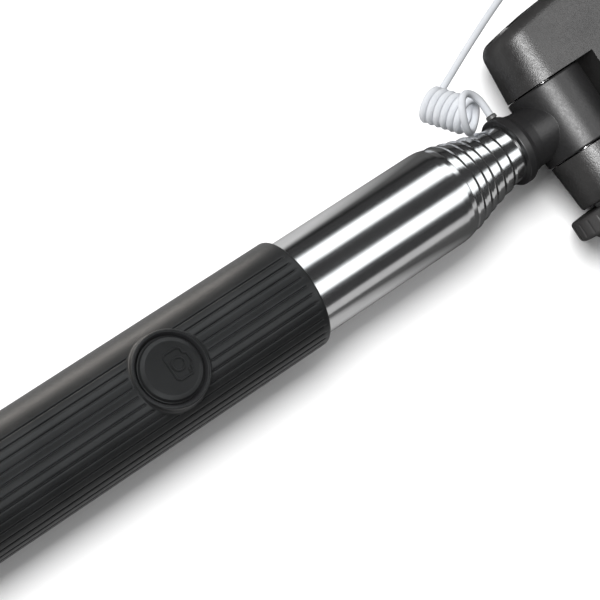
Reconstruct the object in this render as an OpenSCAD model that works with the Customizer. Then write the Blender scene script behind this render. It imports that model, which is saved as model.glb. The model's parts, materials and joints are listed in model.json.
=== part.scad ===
// Telescopic hand-held phone stick, lying closed: rubber grip with a shutter button,
// seven nested steel tubes, a tilting head and a sprung phone clamp, with a coiled signal cord.
// +X runs from the butt of the handle to the head, +Z is up, the origin is on the pole's axis.

/* [Handle] */
// Outside diameter of the rubber grip
grip_d = 25; // [24:0.5:27]
// Length of the handle from its butt to the mouth of the grip
handle_l = 112; // [104:1:120]
// Distance from the mouth of the grip back to the middle of the button
button_back = 36; // [32:1:44]
// Diameter of the button cap
button_d = 13.4; // [12:0.1:13.6]
// Number of shallow grooves round the grip
groove_count = 39; // [30:1:44]

/* [Pole] */
// Outside diameter of the outer tube
pole_d = 22.2; // [22:0.1:22.4]
// Change in radius from one tube to the next
tube_step = 0.7; // [0.7:0.01:0.71]
// Wall thickness of each tube
tube_wall = 0.4; // [0.35:0.05:0.4]
// Length of the outer tube that stands out of the grip
pole_showing = 43; // [40:1:50]
// How far each tube slides out of the one before it
tube_travel = 118; // [80:1:118]

/* [Head] */
// Radius of the hinge barrel and of the ears round it
barrel_r = 9.2; // [9:0.1:9.4]
// Width of the hinge barrel between the ears
barrel_w = 16.9; // [16:0.1:17.5]
// Diameter of the thumb knob
knob_d = 24; // [22:0.5:24.5]

/* [Clamp] */
// Width of the closed jaws' gap along the pole
slot_w = 58; // [55:1:62]
// How far the outer jaw pulls out
jaw_travel = 27; // [20:1:28]
// Width of the clamp's housing
housing_w = 44; // [42:1:46]

/* [Cord] */
// Diameter of the cord
cord_d = 1.7; // [1.6:0.1:1.8]
// Outside diameter of the curly stretch
coil_d = 8.8; // [8.6:0.1:9]

/* [Hidden] */
$fn = 64;
fine = 96;
small = 32;
slip = 0.05;          // radial running fit
gap = 0.3;            // clear space between parts that move past each other
eps = 0.01;

// handle
grip_r = grip_d / 2;
cap_l = 7;
floor_z = -grip_r;
button_x = handle_l - button_back;
cap_r = button_d / 2;
well_r = cap_r + 0.3;
frame_wall = 0.7;
ring_r = 8.2;
handle_turn = -3.15;   // the button leans a little towards +Y
ring_top = grip_r + 0.55;
board_z = 10.75;
board_t = 0.4;
board_w = 9.6;
board_l = 14.8;
dome_r = 3;
dome_t = 0.3;
button_travel = 0.3;
button_top = grip_r + 1.1;
lead_r = 0.3;
lead_y = 1.2;
lead_z = board_z + board_t + lead_r + 0.01;
window_w = 13.8;
window_l = 15;

// pole: radius, mouth and rear end of tube k, where k = 1 is the outer tube
showing = [2.8, 2.6, 2.4, 3.0, 3.3, 3.7];
mouth_1 = handle_l + pole_showing;
function sum_to(k) = k < 2 ? 0 : showing[k - 2] + sum_to(k - 1);
function tube_r(k) = pole_d / 2 - (k - 1) * tube_step;
function mouth_x(k) = mouth_1 + sum_to(k);
function rear_x(k) = 14 + 2 * (k - 2);
lip_l = 1.1;
sleeve_l = 16;
flange_x = mouth_x(7);

// head
flange_r = 8.1;
flange_l = 3.6;
socket_l = 0.4;
neck_r = 6.7;
barrel_x = flange_x + 17.5;
bolt_r = 2.5;
slot_half = barrel_w / 2 + gap;

// clamp, with u counted from the hinge axis
ear_in = slot_half;
ear_low = -20.2;
ear_high = 23.6;
slot_end = 10;
block_u = 24;
side_y = 25.6;
knob_gap = 1;
knob_l = 6.8;
nut_y = 17;
nut_t = 4;
nut_af = 8;
plate_u = 13;
plate_end = block_u + slot_w - gap;
plate_top = -6;
cover_t = 1.6;
cavity_top = -7.5;
cavity_w = 31.2;
cavity_u = 15;
tongue_w = 30.6;
tongue_t = 2.8;
tongue_u = 30;
jaw_u = block_u + slot_w;
jaw_t = 10;
lip = 2.4;
lip_t = 2;
pad_t = 1.2;
pad_w = 32;
spring_y = 9;
spring_r = 1.3;
spring_u0 = 18.2;
spring_u1 = 50;
post_r = 0.9;
screw_r = 1;
cover_screw_u = [19, 76];
cover_screw_y = 18.6;
jaw_screw_y = 10;

// cord: the route over the floor from the lower end of the coil to the plug
cord_r = cord_d / 2;
gland_x = flange_x + 1.5;
gland_z = 0.8;
gland_r = 0.95;
gland_tip = 9;
lead_bore = 2.9;
coil_top = [171.9, 10.05, -1.2];
coil_tilt = 37.6;
coil_turn = 113.2;
coil_l = 12.7;
run_z = floor_z + cord_r;
run = [[169.9, 17.1, run_z], [172, 18.4, run_z], [174.5, 19.9, run_z], [187, 25.3, run_z],
       [200, 30.4, run_z], [211, 33.8, run_z], [222, 35, run_z], [234, 35.4, run_z + 0.5],
       [243, 35.4, run_z + 1.9], [247, 35.4, run_z + 2.35]];
run_sides = 8;
boot_x = 247;
boot_l = 17;
boot_r = 3.2;
boot_z = floor_z + boot_r;
boot_y = 35.4;
jack_r = 1.75;
jack_l = 14;

// ---- helpers ----
// a round bar along +X
module bar(x0, x1, r, faces = fine) {
    translate([x0, 0, 0]) rotate([0, 90, 0]) cylinder(h = x1 - x0, r = r, $fn = faces);
}

// a round bar along Y at the hinge axis
module hinge_bar(y0, y1, r, faces = fine) {
    translate([barrel_x, y1, 0]) rotate([90, 0, 0]) cylinder(h = y1 - y0, r = r, $fn = faces);
}

// a block in the clamp's own coordinates, from the hinge axis
module block(u0, u1, y0, y1, z0, z1) {
    translate([barrel_x + u0, y0, z0]) cube([u1 - u0, y1 - y0, z1 - z0]);
}

// an upright cylinder in the clamp's own coordinates
module peg(u, y, z0, z1, r, faces = small) {
    translate([barrel_x + u, y, z0]) cylinder(h = z1 - z0, r = r, $fn = faces);
}

// turns a profile of [radius, x] points about the pole's axis
module turned(points, faces = fine) {
    rotate([0, 90, 0]) rotate([0, 0, 180]) rotate_extrude($fn = faces) polygon(points);
}

// ---- handle ----
module grip_sleeve() {
    bore = pole_d / 2;
    groove_r = 0.3;
    color([0.16, 0.16, 0.16]) rotate([handle_turn, 0, 0]) difference() {
        union() {
            turned([[bore, cap_l], [grip_r, cap_l], [grip_r, handle_l - 0.8],
                    [grip_r - 0.25, handle_l - 0.25], [grip_r - 0.8, handle_l], [bore, handle_l]]);
            translate([button_x, 0, board_z]) cylinder(h = ring_top - board_z, r = ring_r);
        }
        translate([button_x, 0, 0]) cylinder(h = grip_d, r = well_r + frame_wall);
        bar(0, handle_l, bore);
        lead_channel();
        for (i = [0 : groove_count - 1]) {
            turn = 90 + (i + 0.5) * 360 / groove_count;
            clear = abs(turn - 90) < 45 || abs(turn - 450) < 45;
            smooth_strip = i >= 30 && i <= 34;
            if (!clear && !smooth_strip) groove(turn, cap_l + 2, handle_l - 1.8, groove_r);
            if (clear) groove(turn, cap_l + 2, button_x - ring_r - 0.4, groove_r);
            if (clear) groove(turn, button_x + ring_r + 0.4, handle_l - 1.8, groove_r);
        }
    }
}

module groove(turn, x0, x1, r) {
    rotate([turn, 0, 0]) translate([x0, grip_r - r, -r]) cube([x1 - x0, grip_d, 2 * r]);
}

// the way for the two wires, over the top of the outer tube
module lead_channel() {
    half = lead_y + lead_r + 0.1;
    reach = button_x - board_l / 2 + 1 - cap_l;
    translate([cap_l + 0.5, -half, 0]) cube([reach, 2 * half, lead_z + lead_r + 0.1]);
}

module outer_tube() {
    color([0.8, 0.8, 0.82]) rotate([handle_turn, 0, 0]) difference() {
        telescope(1, cap_l);
        translate([button_x - window_l / 2, -window_w / 2, 0]) cube([window_l, window_w, grip_d]);
    }
}

// a thin tube with its mouth rolled in to guide the next tube
module telescope(k, x0) {
    r = tube_r(k);
    x1 = mouth_x(k);
    guide = tube_r(k + 1) + slip;
    wall = tube_wall;
    turned([[r - wall, x0], [r, x0], [r, x1 - lip_l], [r - 0.12, x1 - lip_l / 2], [guide + 0.3, x1 - 0.06],
            [guide + 0.1, x1], [guide, x1], [guide, x1 - lip_l], [r - wall, x1 - lip_l - 0.3]]);
}

// the nylon sleeve round the rear end of tube k, sliding in the tube before it
module friction_sleeve(k, bore_slip = 0) {
    outer = tube_r(k - 1) - tube_wall - slip;
    x0 = rear_x(k);
    color([0.9, 0.9, 0.86]) turned([[tube_r(k) + bore_slip, x0], [outer, x0],
                                    [outer, x0 + sleeve_l], [tube_r(k) + bore_slip, x0 + sleeve_l]]);
}

module end_cap() {
    strap_r = 1.5;
    plug_r = tube_r(1) - tube_wall;
    color([0.13, 0.13, 0.13]) difference() {
        union() {
            turned([[0, 0], [grip_r - 2.2, 0], [grip_r - 0.7, 0.6], [grip_r - 0.1, 2],
                    [grip_r - 0.1, cap_l], [plug_r, cap_l], [plug_r, 12.5], [0, 12.5]]);
        }
        translate([3.9, grip_r, -7.5]) rotate([90, 0, 0]) cylinder(h = grip_d, r = strap_r, $fn = small);
    }
}

module button_frame() {
    frame_z = board_z + board_t;
    color([0.12, 0.12, 0.12]) rotate([handle_turn, 0, 0]) difference() {
        translate([button_x, 0, frame_z]) cylinder(h = ring_top - 0.15 - frame_z, r = well_r + frame_wall);
        translate([button_x, 0, 0]) cylinder(h = grip_d, r = well_r);
        lead_channel();
    }
}

module switch_board() {
    color([0.1, 0.4, 0.2]) rotate([handle_turn, 0, 0]) intersection() {
        translate([button_x - board_l / 2, -board_w / 2, board_z]) cube([board_l, board_w, board_t]);
        translate([button_x, 0, 0]) cylinder(h = grip_d, r = well_r + frame_wall - slip);
    }
}

module snap_dome() {
    dome_z = board_z + board_t;
    sphere_r = (dome_r * dome_r + dome_t * dome_t) / (2 * dome_t);
    color([0.85, 0.85, 0.85]) rotate([handle_turn, 0, 0]) translate([button_x, 0, dome_z]) intersection() {
        cylinder(h = dome_t, r = dome_r);
        translate([0, 0, dome_t - sphere_r]) sphere(r = sphere_r, $fn = fine);
    }
}

module switch_lead() {
    x0 = cap_l + 1;
    x1 = button_x - cap_r - 0.2;
    color([0.7, 0.1, 0.1]) rotate([handle_turn, 0, 0]) for (side = [-1, 1])
        translate([x0, side * lead_y, lead_z]) rotate([0, 90, 0])
            cylinder(h = x1 - x0, r = lead_r, $fn = small);
}

module button_cap() {
    skirt_z = board_z + board_t + dome_t + button_travel + 0.1;
    glyph_depth = 0.15;
    color([0.15, 0.15, 0.15]) rotate([handle_turn, 0, 0]) translate([button_x, 0, 0]) difference() {
        rotate_extrude() polygon([[0, skirt_z], [cap_r, skirt_z], [cap_r, button_top - 0.55],
                                  [cap_r - 0.25, button_top - 0.28], [cap_r - 0.8, button_top - 0.12],
                                  [cap_r - 3, button_top - 0.02], [0, button_top]]);
        translate([0, 0, button_top - glyph_depth]) lens_ring();
    }
}

// an engraved ring that stands for the shutter
module lens_ring() {
    difference() {
        cylinder(h = 1, r = 2.1);
        translate([0, 0, -1]) cylinder(h = 3, r = 1.7);
    }
}

// ---- pole ----
module inner_tube(k) {
    color([0.8, 0.8, 0.82]) telescope(k, rear_x(k));
}

module tube_7() {
    r = tube_r(7);
    color([0.8, 0.8, 0.82]) turned([[r - tube_wall, rear_x(7)], [r, rear_x(7)], [r, flange_x + socket_l],
                                    [r - tube_wall, flange_x + socket_l]]);
}

// ---- head ----
module head_knuckle() {
    r = tube_r(7);
    spigot = r - tube_wall;
    blend = 2.2;
    color([0.2, 0.2, 0.2]) difference() {
        union() {
            turned([[lead_bore, flange_x - 8], [spigot, flange_x - 8], [spigot, flange_x + socket_l],
                    [r, flange_x + socket_l], [r, flange_x], [flange_r - 0.25, flange_x],
                    [flange_r, flange_x + 0.3], [flange_r, flange_x + 1.6],
                    [flange_r - 0.5, flange_x + 2.3], [neck_r + 0.45, flange_x + flange_l - 0.5],
                    [neck_r, flange_x + flange_l + blend], [neck_r, barrel_x - 3],
                    [0, barrel_x - 3], [0, flange_x + 7], [lead_bore, flange_x + 7]]);
            hinge_bar(-barrel_w / 2, barrel_w / 2, barrel_r);
        }
        hinge_bar(-barrel_w, barrel_w, bolt_r + slip);
        bar(flange_x - 9, flange_x + 4, lead_bore);
        cord_way(0, flange_r + 1);
    }
}

// the way out of the flange for the cord, along +Y
module cord_way(y0, y1) {
    translate([gland_x, y1, gland_z]) rotate([90, 0, 0]) cylinder(h = y1 - y0, r = gland_r, $fn = small);
}

module cord_gland() {
    color([0.08, 0.08, 0.08]) cord_way(lead_bore, gland_tip);
}

module inner_cord() {
    color([0.85, 0.85, 0.85]) bar(34, flange_x + 3, 2.6, small);
}

// ---- cord ----
module cord_coil() {
    color([0.93, 0.94, 0.95]) translate(coil_top) rotate([0, 0, coil_turn])
        rotate([0, coil_tilt - 90, 0]) translate([0, 0, -coil_l]) cylinder(h = coil_l, r = coil_d / 2);
}

// a round tube swept along a list of points
function unit(v) = v / norm(v);
function heading(points, i) =
    unit(points[min(i + 1, len(points) - 1)] - points[max(i - 1, 0)]);
function ring_point(points, i, j, sides, r) =
    let (h = heading(points, i),
         side = unit(cross([0, 0, 1], h)),
         up = cross(h, side),
         a = 360 * j / sides)
    points[i] + r * (cos(a) * side + sin(a) * up);

module swept(points, r, sides) {
    n = len(points);
    corners = [for (i = [0 : n - 1]) for (j = [0 : sides - 1]) ring_point(points, i, j, sides, r)];
    walls = [for (i = [0 : n - 2]) for (j = [0 : sides - 1])
        let (k = (j + 1) % sides)
        [i * sides + j, (i + 1) * sides + j, (i + 1) * sides + k, i * sides + k]];
    first = [for (j = [0 : sides - 1]) j];
    last = [for (j = [sides - 1 : -1 : 0]) (n - 1) * sides + j];
    polyhedron(points = corners, faces = concat(walls, [first, last]), convexity = 6);
}

// points on a smooth curve through the route
function mid_point(p, i, t) =
    let (a = p[max(i - 1, 0)], b = p[i], c = p[i + 1], d = p[min(i + 2, len(p) - 1)])
    0.5 * (2 * b + (c - a) * t + (2 * a - 5 * b + 4 * c - d) * t * t + (3 * b - a - 3 * c + d) * t * t * t);
route_steps = 3;
route = concat([for (i = [0 : len(run) - 2]) for (s = [0 : route_steps - 1])
                   mid_point(run, i, s / route_steps)],
               [run[len(run) - 1]]);

module cord_run() {
    color([0.93, 0.94, 0.95]) swept(route, cord_r, run_sides);
}

module plug_boot() {
    color([0.93, 0.94, 0.95]) translate([boot_x, boot_y, boot_z]) rotate([0, 90, 0])
        rotate_extrude() polygon([[0, 0], [1.5, 0], [1.7, 5], [boot_r - 0.4, 6.2], [boot_r, 7],
                                  [boot_r, boot_l - 0.5], [boot_r - 0.5, boot_l], [0, boot_l]]);
}

// the bare metal of a 3.5 mm plug, with grooves for its insulating rings
module plug_jack() {
    ring_d = 0.5;
    color([0.85, 0.82, 0.7]) translate([boot_x + boot_l, boot_y, boot_z]) rotate([0, 90, 0])
        rotate_extrude() polygon([[0, 0], [2.4, 0], [2.4, 0.6], [jack_r, 0.6], [jack_r, 4], [1.2, 4],
                                  [1.2, 4 + ring_d], [jack_r, 4 + ring_d], [jack_r, 7], [1.2, 7],
                                  [1.2, 7 + ring_d],
                                  [jack_r, 7 + ring_d], [jack_r, 10.2], [1.2, 10.6], [1.65, 11.6],
                                  [1.65, 12.2], [0.5, jack_l], [0, jack_l]]);
}

module plug_rings() {
    color([0.1, 0.1, 0.1]) for (x = [4, 7]) translate([boot_x + boot_l + x, boot_y, boot_z])
        rotate([0, 90, 0]) difference() {
            cylinder(h = 0.5, r = jack_r);
            translate([0, 0, -1]) cylinder(h = 3, r = 1.2);
        }
}

// ---- knob ----
module thumb_knob() {
    y0 = ear_low - knob_gap;
    r = knob_d / 2;
    color([0.2, 0.2, 0.2]) translate([barrel_x, y0, 0]) rotate([90, 0, 0]) difference() {
        rotate_extrude($fn = fine) polygon([[0, 0], [r - 0.8, 0], [r - 0.2, 0.3], [r, 1], [r, 3.4],
                                            [r - 0.4, 4.2], [r - 1.6, 4.9], [6, knob_l - 0.4],
                                            [0, knob_l]]);
        translate([0, 0, -1]) cylinder(h = 5, r = bolt_r);
    }
}

module hinge_bolt() {
    color([0.75, 0.75, 0.77]) hinge_bar(ear_low - knob_gap - 4, nut_y + nut_t, bolt_r);
}

module knob_washer() {
    color([0.75, 0.75, 0.77]) difference() {
        hinge_bar(ear_low - knob_gap, ear_low - gap / 2, 5);
        hinge_bar(ear_low - 2 * knob_gap, 0, bolt_r);
    }
}

// ---- clamp ----
// plan of the ears and the cross block, seen from above
module block_plan() {
    polygon([[-barrel_r, ear_low], [12.6, ear_low], [15, -side_y + 2], [18, -side_y + 0.4],
             [block_u, -side_y], [block_u, side_y], [18, side_y + 0.2], [9, side_y - 0.9],
             [0, ear_high], [-6, ear_high - 0.9],
             [-barrel_r, ear_high - 2.4]]);
}

module clamp_base() {
    plate_y = housing_w / 2;
    color([0.27, 0.27, 0.27]) difference() {
        union() {
            intersection() {
                translate([barrel_x, 0, -barrel_r]) linear_extrude(height = 2 * barrel_r) block_plan();
                union() {
                    hinge_bar(-2 * side_y, 2 * side_y, barrel_r);
                    block(0, block_u, -2 * side_y, 2 * side_y, -barrel_r, barrel_r);
                }
            }
            block(plate_u, plate_end, -plate_y, plate_y, floor_z + cover_t, plate_top);
            block(block_u - 1, block_u + lip, -plate_y, plate_y, barrel_r - lip_t, barrel_r);
        }
        block(-2 * barrel_r, slot_end, -slot_half, slot_half, -2 * barrel_r, 2 * barrel_r);
        block(cavity_u, plate_end + 1, -cavity_w / 2, cavity_w / 2, floor_z, cavity_top);
        hinge_bar(-2 * side_y, 2 * side_y, bolt_r + slip);
        hinge_bar(nut_y + nut_t, 2 * side_y, 6.2);
        translate([barrel_x, nut_y + nut_t + eps, 0]) rotate([90, 0, 0])
            cylinder(h = nut_t + 0.1, r = nut_af / sqrt(3), $fn = 6);
        for (u = cover_screw_u) for (side = [-1, 1])
            peg(u, side * cover_screw_y, floor_z, cavity_top + 0.5, screw_r);
        for (side = [-1, 1]) peg(spring_u0 - 1.2, side * spring_y, floor_z, cavity_top + 1, post_r);
    }
}

module hinge_nut() {
    color([0.75, 0.75, 0.77]) difference() {
        translate([barrel_x, nut_y + nut_t, 0]) rotate([90, 0, 0])
            cylinder(h = nut_t, r = nut_af / sqrt(3), $fn = 6);
        hinge_bar(0, 2 * side_y, bolt_r + slip);
    }
}

module ear_cap() {
    color([0.2, 0.2, 0.2]) hinge_bar(nut_y + nut_t + 0.2, ear_high - 1.8, 6.2);
}

module back_cover() {
    plate_y = housing_w / 2;
    color([0.2, 0.2, 0.2]) difference() {
        block(plate_u, plate_end, -plate_y, plate_y, floor_z, floor_z + cover_t);
        for (u = cover_screw_u) for (side = [-1, 1]) {
            peg(u, side * cover_screw_y, floor_z - 1, floor_z + 3, screw_r);
            peg(u, side * cover_screw_y, floor_z - 1, floor_z + 0.9, 2);
        }
    }
}

// the cross in a screw's head, from below
module cross_slot(u, y) {
    block(u - 1.2, u + 1.2, y - 0.2, y + 0.2, floor_z, floor_z + 0.5);
    block(u - 0.2, u + 0.2, y - 1.2, y + 1.2, floor_z, floor_z + 0.5);
}

module cover_screws() {
    color([0.7, 0.7, 0.72]) for (u = cover_screw_u) for (side = [-1, 1]) difference() {
        union() {
            peg(u, side * cover_screw_y, floor_z + 0.1, floor_z + 0.9, 1.9);
            peg(u, side * cover_screw_y, floor_z + 0.8, cavity_top, screw_r);
        }
        cross_slot(u, side * cover_screw_y);
    }
}

module spring_posts() {
    color([0.7, 0.7, 0.72]) for (side = [-1, 1])
        peg(spring_u0 - 1.2, side * spring_y, floor_z + cover_t, cavity_top + 1, post_r);
}

module jaw_springs() {
    z = floor_z + cover_t + 1.7;
    color([0.75, 0.75, 0.77]) for (side = [-1, 1]) translate([barrel_x + spring_u0, side * spring_y, z])
        rotate([0, 90, 0]) difference() {
            cylinder(h = spring_u1 - spring_u0, r = spring_r, $fn = small);
            translate([0, 0, -1]) cylinder(h = spring_u1, r = spring_r - 0.4, $fn = small);
        }
}

// a pad on the face of a jaw
module jaw_pad(u) {
    color([0.1, 0.1, 0.1]) block(u, u + pad_t, -pad_w / 2, pad_w / 2, plate_top + 1, barrel_r - lip_t);
}

module lower_pad() {
    jaw_pad(block_u);
}

module back_pad() {
    color([0.1, 0.1, 0.1]) block(block_u + 6, jaw_u - 6, -pad_w / 2, pad_w / 2, plate_top, plate_top + 0.8);
}

module outer_jaw() {
    plate_y = housing_w / 2;
    color([0.27, 0.27, 0.27]) difference() {
        union() {
            translate([barrel_x, 0, floor_z]) linear_extrude(height = barrel_r - floor_z)
                polygon([[jaw_u, -plate_y], [jaw_u + jaw_t - 3, -plate_y], [jaw_u + jaw_t, -plate_y + 8],
                         [jaw_u + jaw_t, plate_y - 8], [jaw_u + jaw_t - 3, plate_y], [jaw_u, plate_y]]);
            block(jaw_u - lip, jaw_u + 1, -plate_y, plate_y, barrel_r - lip_t, barrel_r);
        }
        block(jaw_u - 1, jaw_u + 6, -tongue_w / 2, tongue_w / 2, floor_z + cover_t + gap,
              floor_z + cover_t + gap + tongue_t);
        for (side = [-1, 1]) {
            peg(jaw_u + 3, side * jaw_screw_y, floor_z - 1, floor_z + 8, screw_r);
            peg(jaw_u + 3, side * jaw_screw_y, floor_z - 1, floor_z + 0.9, 2);
        }
    }
}

module jaw_slide_plate() {
    z0 = floor_z + cover_t + gap;
    color([0.85, 0.85, 0.82]) difference() {
        block(tongue_u, jaw_u + 6, -tongue_w / 2, tongue_w / 2, z0, z0 + tongue_t);
        for (side = [-1, 1]) {
            block(tongue_u - 1, spring_u1 + 2.4, side * spring_y - 2.2, side * spring_y + 2.2, z0 - 1,
                  z0 + tongue_t + 1);
            peg(spring_u1 + 3.6, side * spring_y, z0 + 0.8, z0 + tongue_t + 1, post_r);
            peg(jaw_u + 3, side * jaw_screw_y, z0 - 1, z0 + tongue_t + 1, screw_r);
        }
    }
}

module slide_posts() {
    z0 = floor_z + cover_t + gap;
    color([0.7, 0.7, 0.72]) for (side = [-1, 1])
        peg(spring_u1 + 3.6, side * spring_y, z0 + 0.8, z0 + tongue_t, post_r);
}

module jaw_screws() {
    color([0.7, 0.7, 0.72]) for (side = [-1, 1]) difference() {
        union() {
            peg(jaw_u + 3, side * jaw_screw_y, floor_z + 0.1, floor_z + 0.9, 1.9);
            peg(jaw_u + 3, side * jaw_screw_y, floor_z + 0.8, floor_z + 8, screw_r);
        }
        cross_slot(jaw_u + 3, side * jaw_screw_y);
    }
}

module outer_pad() {
    jaw_pad(jaw_u - pad_t);
}

grip_sleeve();
outer_tube();
end_cap();
button_frame();
switch_board();
snap_dome();
switch_lead();
button_cap();
inner_tube(2);  // tube_2
friction_sleeve(2);  // friction_sleeve_2
inner_tube(3);  // tube_3
friction_sleeve(3);  // friction_sleeve_3
inner_tube(4);  // tube_4
friction_sleeve(4);  // friction_sleeve_4
inner_tube(5);  // tube_5
friction_sleeve(5);  // friction_sleeve_5
inner_tube(6);  // tube_6
friction_sleeve(6);  // friction_sleeve_6
friction_sleeve(7, slip);  // friction_sleeve_7
tube_7();
head_knuckle();
cord_gland();
inner_cord();
cord_coil();
cord_run();
plug_boot();
plug_jack();
plug_rings();
thumb_knob();
hinge_bolt();
knob_washer();
clamp_base();
hinge_nut();
ear_cap();
back_cover();
cover_screws();
spring_posts();
jaw_springs();
lower_pad();
back_pad();
outer_jaw();
jaw_slide_plate();
slide_posts();
jaw_screws();
outer_pad();
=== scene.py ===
# A telescopic hand-held phone stick, lying closed on a pale studio floor.
# Lengths are millimetres until a mesh or curve is made, and +X runs from the butt to the head.
import json
import math

import bmesh
import bpy
from mathutils import Matrix, Vector

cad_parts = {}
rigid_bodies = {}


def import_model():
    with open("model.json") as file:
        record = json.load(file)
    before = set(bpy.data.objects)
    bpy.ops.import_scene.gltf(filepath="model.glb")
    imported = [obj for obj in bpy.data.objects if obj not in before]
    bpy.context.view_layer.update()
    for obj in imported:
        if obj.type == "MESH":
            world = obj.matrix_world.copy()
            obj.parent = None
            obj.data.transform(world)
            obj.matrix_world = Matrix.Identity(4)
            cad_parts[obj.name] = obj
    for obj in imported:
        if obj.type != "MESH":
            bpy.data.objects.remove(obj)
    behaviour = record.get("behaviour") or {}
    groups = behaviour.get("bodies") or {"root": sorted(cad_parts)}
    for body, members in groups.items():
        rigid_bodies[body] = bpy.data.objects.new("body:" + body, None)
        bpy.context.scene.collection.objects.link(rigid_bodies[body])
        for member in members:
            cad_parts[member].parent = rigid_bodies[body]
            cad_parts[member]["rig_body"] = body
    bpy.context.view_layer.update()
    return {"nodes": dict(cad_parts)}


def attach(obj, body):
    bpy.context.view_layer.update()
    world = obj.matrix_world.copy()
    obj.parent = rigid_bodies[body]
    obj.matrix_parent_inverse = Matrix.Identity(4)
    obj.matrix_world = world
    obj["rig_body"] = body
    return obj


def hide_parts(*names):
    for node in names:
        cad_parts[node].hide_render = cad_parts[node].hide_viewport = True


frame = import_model()
MM = 0.001
TAU = 2 * math.pi
CUT_SLACK = 0.0005   # in millimetres; points closer than this after a cut are one point

# ---- sizes shared with the CAD model ----
GRIP_R = 12.5
FLOOR_Z = -12.5
HANDLE_L = 112.0
CAP_L = 7.0
BUTTON_X = 76.0
CAP_R = 6.7
WELL_R = 7.0
FRAME_R = 7.7
RING_R = 8.2
RING_TOP = 13.05
BUTTON_TOP = 13.6
BOARD_TOP = 11.15
GROOVES = 39
GROOVE_DEPTH = 0.4
SMOOTH_STRIP = range(30, 35)   # the grooves left out on the +Y side
HANDLE_TURN = math.radians(-3.15)
TUBE_WALL = 0.4
SLEEVE_BORE = 11.1
LAST_R = 6.9
LAST_BORE = 6.5
MOUTHS = {1: 155.0, 2: 157.8, 3: 160.4, 4: 162.8, 5: 165.8, 6: 169.1}
FLANGE_X = 172.8
HINGE_X = 190.3
BARREL_R = 9.2
BARREL_HALF = 8.45
SLOT_HALF = 8.75
SLOT_END = 10.0
EAR_LOW = -20.2
SIDE_Y = 25.6
BLOCK_U = 24.0
JAW_U = 82.0
JAW_T = 10.0
BOLT_R = 2.5


def tube_r(k):
    return 11.1 - 0.7 * (k - 1)


# ---- mesh helpers ----
def share_of(value):
    """Keeps a value between 0 and 1."""
    return min(max(value, 0), 1)


def unit_circle(count):
    return [(math.cos(TAU * j / count), math.sin(TAU * j / count)) for j in range(count)]


def skin(bm, one, two):
    """Joins two closed loops with the same number of points."""
    n = len(one)
    for j in range(n):
        k = (j + 1) % n
        bm.faces.new((one[j], one[k], two[k], two[j]))


def finish_mesh(name, bm, angle=35.0):
    """Turns millimetres into metres and makes the object, smooth apart from edges sharper than angle."""
    bmesh.ops.scale(bm, vec=(MM, MM, MM), verts=bm.verts)
    bmesh.ops.recalc_face_normals(bm, faces=bm.faces)
    mesh = bpy.data.meshes.new(name)
    bm.to_mesh(mesh)
    bm.free()
    mesh.polygons.foreach_set("use_smooth", [True] * len(mesh.polygons))
    mesh.set_sharp_from_angle(angle=math.radians(angle))
    obj = bpy.data.objects.new(name, mesh)
    bpy.context.scene.collection.objects.link(obj)
    return obj


def fillet(points, steps=6):
    """Rounds the corners of an outline. Each point is (a, b) or (a, b, radius)."""
    out = []
    n = len(points)
    for i, point in enumerate(points):
        radius = point[2] if len(point) > 2 else 0
        here = Vector(point[:2])
        if not radius:
            out.append(here)
            continue
        before = Vector(points[(i - 1) % n][:2]) - here
        after = Vector(points[(i + 1) % n][:2]) - here
        half = before.angle(after) / 2
        reach = radius / math.tan(half)
        start = here + before.normalized() * reach
        end = here + after.normalized() * reach
        inward = (before.normalized() + after.normalized()).normalized()
        centre = here + inward * radius / math.sin(half)
        a0 = math.atan2(start.y - centre.y, start.x - centre.x)
        a1 = math.atan2(end.y - centre.y, end.x - centre.x)
        turn = (a1 - a0 + math.pi) % TAU - math.pi
        for s in range(steps + 1):
            a = a0 + turn * s / steps
            out.append(centre + Vector((math.cos(a), math.sin(a))) * radius)
    return out


def axis_matrix(axis, centre):
    """Takes the local Z axis to the named axis."""
    turns = {"X": Matrix.Rotation(math.pi / 2, 4, "Y"), "Y": Matrix.Rotation(-math.pi / 2, 4, "X"),
             "-Y": Matrix.Rotation(math.pi / 2, 4, "X"), "Z": Matrix.Identity(4)}
    return Matrix.Translation(centre) @ turns[axis]


def add_lathe(bm, profile, axis="X", centre=(0, 0, 0), seg=128, ripple=None):
    """Adds a closed outline of (radius, height) points turned about an axis."""
    place = axis_matrix(axis, centre)
    points = fillet(profile)
    rings = []
    for r, z in points:
        if r < 1e-6:
            rings.append([bm.verts.new(place @ Vector((0, 0, z)))])
            continue
        ring = []
        for j in range(seg):
            a = TAU * j / seg
            rr = r if ripple is None else ripple(r, z, a)
            ring.append(bm.verts.new(place @ Vector((rr * math.cos(a), rr * math.sin(a), z))))
        rings.append(ring)
    for i in range(len(rings)):
        one, two = rings[i], rings[(i + 1) % len(rings)]
        if len(one) == 1 and len(two) == 1:
            continue
        for j in range(seg):
            k = (j + 1) % seg
            if len(one) == 1:
                bm.faces.new((one[0], two[j], two[k]))
            elif len(two) == 1:
                bm.faces.new((one[j], two[0], one[k]))
            else:
                bm.faces.new((one[j], two[j], two[k], one[k]))


def lathe(name, profile, axis="X", centre=(0, 0, 0), seg=128, ripple=None, angle=35.0):
    bm = bmesh.new()
    add_lathe(bm, profile, axis, centre, seg, ripple)
    return finish_mesh(name, bm, angle)


def add_prism(bm, outline, low, high, place=Matrix.Identity(4)):
    """Adds an outline in local XY raised from low to high along local Z."""
    points = fillet(outline)
    bottom = [bm.verts.new(place @ Vector((p.x, p.y, low))) for p in points]
    top = [bm.verts.new(place @ Vector((p.x, p.y, high))) for p in points]
    skin(bm, bottom, top)
    bm.faces.new(bottom[::-1])
    bm.faces.new(top)


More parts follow.
